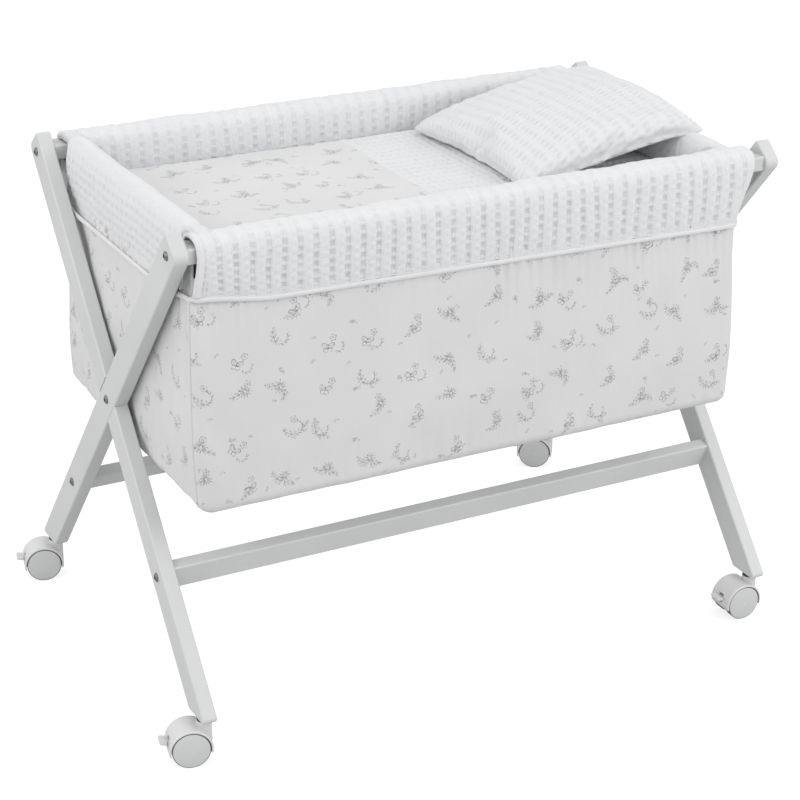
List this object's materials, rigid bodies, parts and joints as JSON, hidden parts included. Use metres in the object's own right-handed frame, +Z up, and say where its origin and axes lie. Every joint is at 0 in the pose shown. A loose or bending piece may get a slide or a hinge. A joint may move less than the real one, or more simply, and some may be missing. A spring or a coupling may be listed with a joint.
{
  "type": "bassinet on stand",
  "caption": "Fabric bassinet hung from the rails of a crossed-leg wooden stand on braked twin-wheel swivel castors, with a padded rim, quilt and pillow.",
  "frame": {"origin": "On the floor under the middle of the whole object's bounding box, castors as shown.", "axes": "+X along the length towards the pillow end, -Y to the front, +Z up."},
  "size_m": [0.9259, 0.6183, 0.7111],
  "materials": {
    "painted_wood": "satin",
    "board": "matte",
    "steel": "satin",
    "dark_plastic": "matte",
    "grey_plastic": "satin",
    "wheel_plastic": "satin",
    "printed_cotton": "matte",
    "waffle_cotton": "matte",
    "plain_cotton": "matte"
  },
  "bodies": {
    "stand": {"left_leg_top_front": "painted_wood", "left_leg_top_rear": "painted_wood", "right_leg_top_front": "painted_wood", "right_leg_top_rear": "painted_wood", "front_top_rail": "painted_wood", "rear_top_rail": "painted_wood", "front_stretcher": "painted_wood", "rear_stretcher": "painted_wood", "top_rail_bolts": "steel", "stretcher_bolts": "steel", "crossing_bolts": "steel", "crossing_nuts": "steel", "barrel_nuts": "steel", "castor_sockets": "dark_plastic", "castor_stems": "steel", "basket_front_panel": "printed_cotton", "basket_rear_panel": "printed_cotton", "basket_left_panel": "printed_cotton", "basket_right_panel": "printed_cotton", "basket_bottom_panel": "printed_cotton", "rim_band_front": "waffle_cotton", "rim_band_rear": "waffle_cotton", "rim_band_left": "waffle_cotton", "rim_band_right": "waffle_cotton", "rim_piping": "plain_cotton", "base_board": "board"},
    "mattress": {"mattress": "plain_cotton"},
    "quilt": {"quilt": "printed_cotton"},
    "pillow": {"pillow": "waffle_cotton"},
    "front_left_castor_swivel": {"front_left_castor_hood": "grey_plastic", "front_left_castor_axle": "steel"},
    "front_left_castor_front_wheel": {"front_left_castor_front_wheel": "wheel_plastic"},
    "front_left_castor_rear_wheel": {"front_left_castor_rear_wheel": "wheel_plastic"},
    "front_left_castor_brake": {"front_left_castor_brake": "grey_plastic"},
    "rear_left_castor_swivel": {"rear_left_castor_hood": "grey_plastic", "rear_left_castor_axle": "steel"},
    "rear_left_castor_front_wheel": {"rear_left_castor_front_wheel": "wheel_plastic"},
    "rear_left_castor_rear_wheel": {"rear_left_castor_rear_wheel": "wheel_plastic"},
    "rear_left_castor_brake": {"rear_left_castor_brake": "grey_plastic"},
    "front_right_castor_swivel": {"front_right_castor_hood": "grey_plastic", "front_right_castor_axle": "steel"},
    "front_right_castor_front_wheel": {"front_right_castor_front_wheel": "wheel_plastic"},
    "front_right_castor_rear_wheel": {"front_right_castor_rear_wheel": "wheel_plastic"},
    "front_right_castor_brake": {"front_right_castor_brake": "grey_plastic"},
    "rear_right_castor_swivel": {"rear_right_castor_hood": "grey_plastic", "rear_right_castor_axle": "steel"},
    "rear_right_castor_front_wheel": {"rear_right_castor_front_wheel": "wheel_plastic"},
    "rear_right_castor_rear_wheel": {"rear_right_castor_rear_wheel": "wheel_plastic"},
    "rear_right_castor_brake": {"rear_right_castor_brake": "grey_plastic"}
  },
  "joints": [
    {"name": "mattress_lift", "type": "slide", "parent": "stand", "child": "mattress", "axis": [0, 0, 1], "range_m": [0, 0.4]},
    {"name": "quilt_lift", "type": "slide", "parent": "mattress", "child": "quilt", "axis": [0, 0, 1], "range_m": [0, 0.15]},
    {"name": "pillow_lift", "type": "slide", "parent": "quilt", "child": "pillow", "axis": [0, 0, 1], "range_m": [0, 0.2]},
    {"name": "front_left_castor_swivel", "type": "hinge", "parent": "stand", "child": "front_left_castor_swivel", "pos_m": [-0.4046, -0.28568, 0.0572], "axis": [0, 0, 1], "continuous": true},
    {"name": "front_left_castor_front_wheel_spin", "type": "hinge", "parent": "front_left_castor_swivel", "child": "front_left_castor_front_wheel", "pos_m": [-0.42409, -0.28118, 0.025], "axis": [-0.225, -0.9744, 0], "continuous": true},
    {"name": "front_left_castor_rear_wheel_spin", "type": "hinge", "parent": "front_left_castor_swivel", "child": "front_left_castor_rear_wheel", "pos_m": [-0.42409, -0.28118, 0.025], "axis": [-0.225, -0.9744, 0], "continuous": true},
    {"name": "front_left_castor_brake_press", "type": "hinge", "parent": "front_left_castor_swivel", "child": "front_left_castor_brake", "pos_m": [-0.44163, -0.27713, 0.031], "axis": [-0.225, -0.9744, 0], "range_deg": [0, 14]},
    {"name": "rear_left_castor_swivel", "type": "hinge", "parent": "stand", "child": "rear_left_castor_swivel", "pos_m": [-0.4046, 0.26868, 0.0572], "axis": [0, 0, 1], "continuous": true},
    {"name": "rear_left_castor_front_wheel_spin", "type": "hinge", "parent": "rear_left_castor_swivel", "child": "rear_left_castor_front_wheel", "pos_m": [-0.42401, 0.27352, 0.025], "axis": [-0.2419, -0.9703, 0], "continuous": true},
    {"name": "rear_left_castor_rear_wheel_spin", "type": "hinge", "parent": "rear_left_castor_swivel", "child": "rear_left_castor_rear_wheel", "pos_m": [-0.42401, 0.27352, 0.025], "axis": [-0.2419, -0.9703, 0], "continuous": true},
    {"name": "rear_left_castor_brake_press", "type": "hinge", "parent": "rear_left_castor_swivel", "child": "rear_left_castor_brake", "pos_m": [-0.44147, 0.27787, 0.031], "axis": [-0.2419, -0.9703, 0], "range_deg": [0, 14]},
    {"name": "front_right_castor_swivel", "type": "hinge", "parent": "stand", "child": "front_right_castor_swivel", "pos_m": [0.4454, -0.28568, 0.0572], "axis": [0, 0, 1], "continuous": true},
    {"name": "front_right_castor_front_wheel_spin", "type": "hinge", "parent": "front_right_castor_swivel", "child": "front_right_castor_front_wheel", "pos_m": [0.4254, -0.28533, 0.025], "axis": [-0.0175, -0.9998, 0], "continuous": true},
    {"name": "front_right_castor_rear_wheel_spin", "type": "hinge", "parent": "front_right_castor_swivel", "child": "front_right_castor_rear_wheel", "pos_m": [0.4254, -0.28533, 0.025], "axis": [-0.0175, -0.9998, 0], "continuous": true},
    {"name": "front_right_castor_brake_press", "type": "hinge", "parent": "front_right_castor_swivel", "child": "front_right_castor_brake", "pos_m": [0.40741, -0.28501, 0.031], "axis": [-0.0175, -0.9998, 0], "range_deg": [0, 14]},
    {"name": "rear_right_castor_swivel", "type": "hinge", "parent": "stand", "child": "rear_right_castor_swivel", "pos_m": [0.4454, 0.26868, 0.0572], "axis": [0, 0, 1], "continuous": true},
    {"name": "rear_right_castor_front_wheel_spin", "type": "hinge", "parent": "rear_right_castor_swivel", "child": "rear_right_castor_front_wheel", "pos_m": [0.42826, 0.27898, 0.025], "axis": [-0.515, -0.8572, 0], "continuous": true},
    {"name": "rear_right_castor_rear_wheel_spin", "type": "hinge", "parent": "rear_right_castor_swivel", "child": "rear_right_castor_rear_wheel", "pos_m": [0.42826, 0.27898, 0.025], "axis": [-0.515, -0.8572, 0], "continuous": true},
    {"name": "rear_right_castor_brake_press", "type": "hinge", "parent": "rear_right_castor_swivel", "child": "rear_right_castor_brake", "pos_m": [0.41283, 0.28825, 0.031], "axis": [-0.515, -0.8572, 0], "range_deg": [0, 14]}
  ]
}
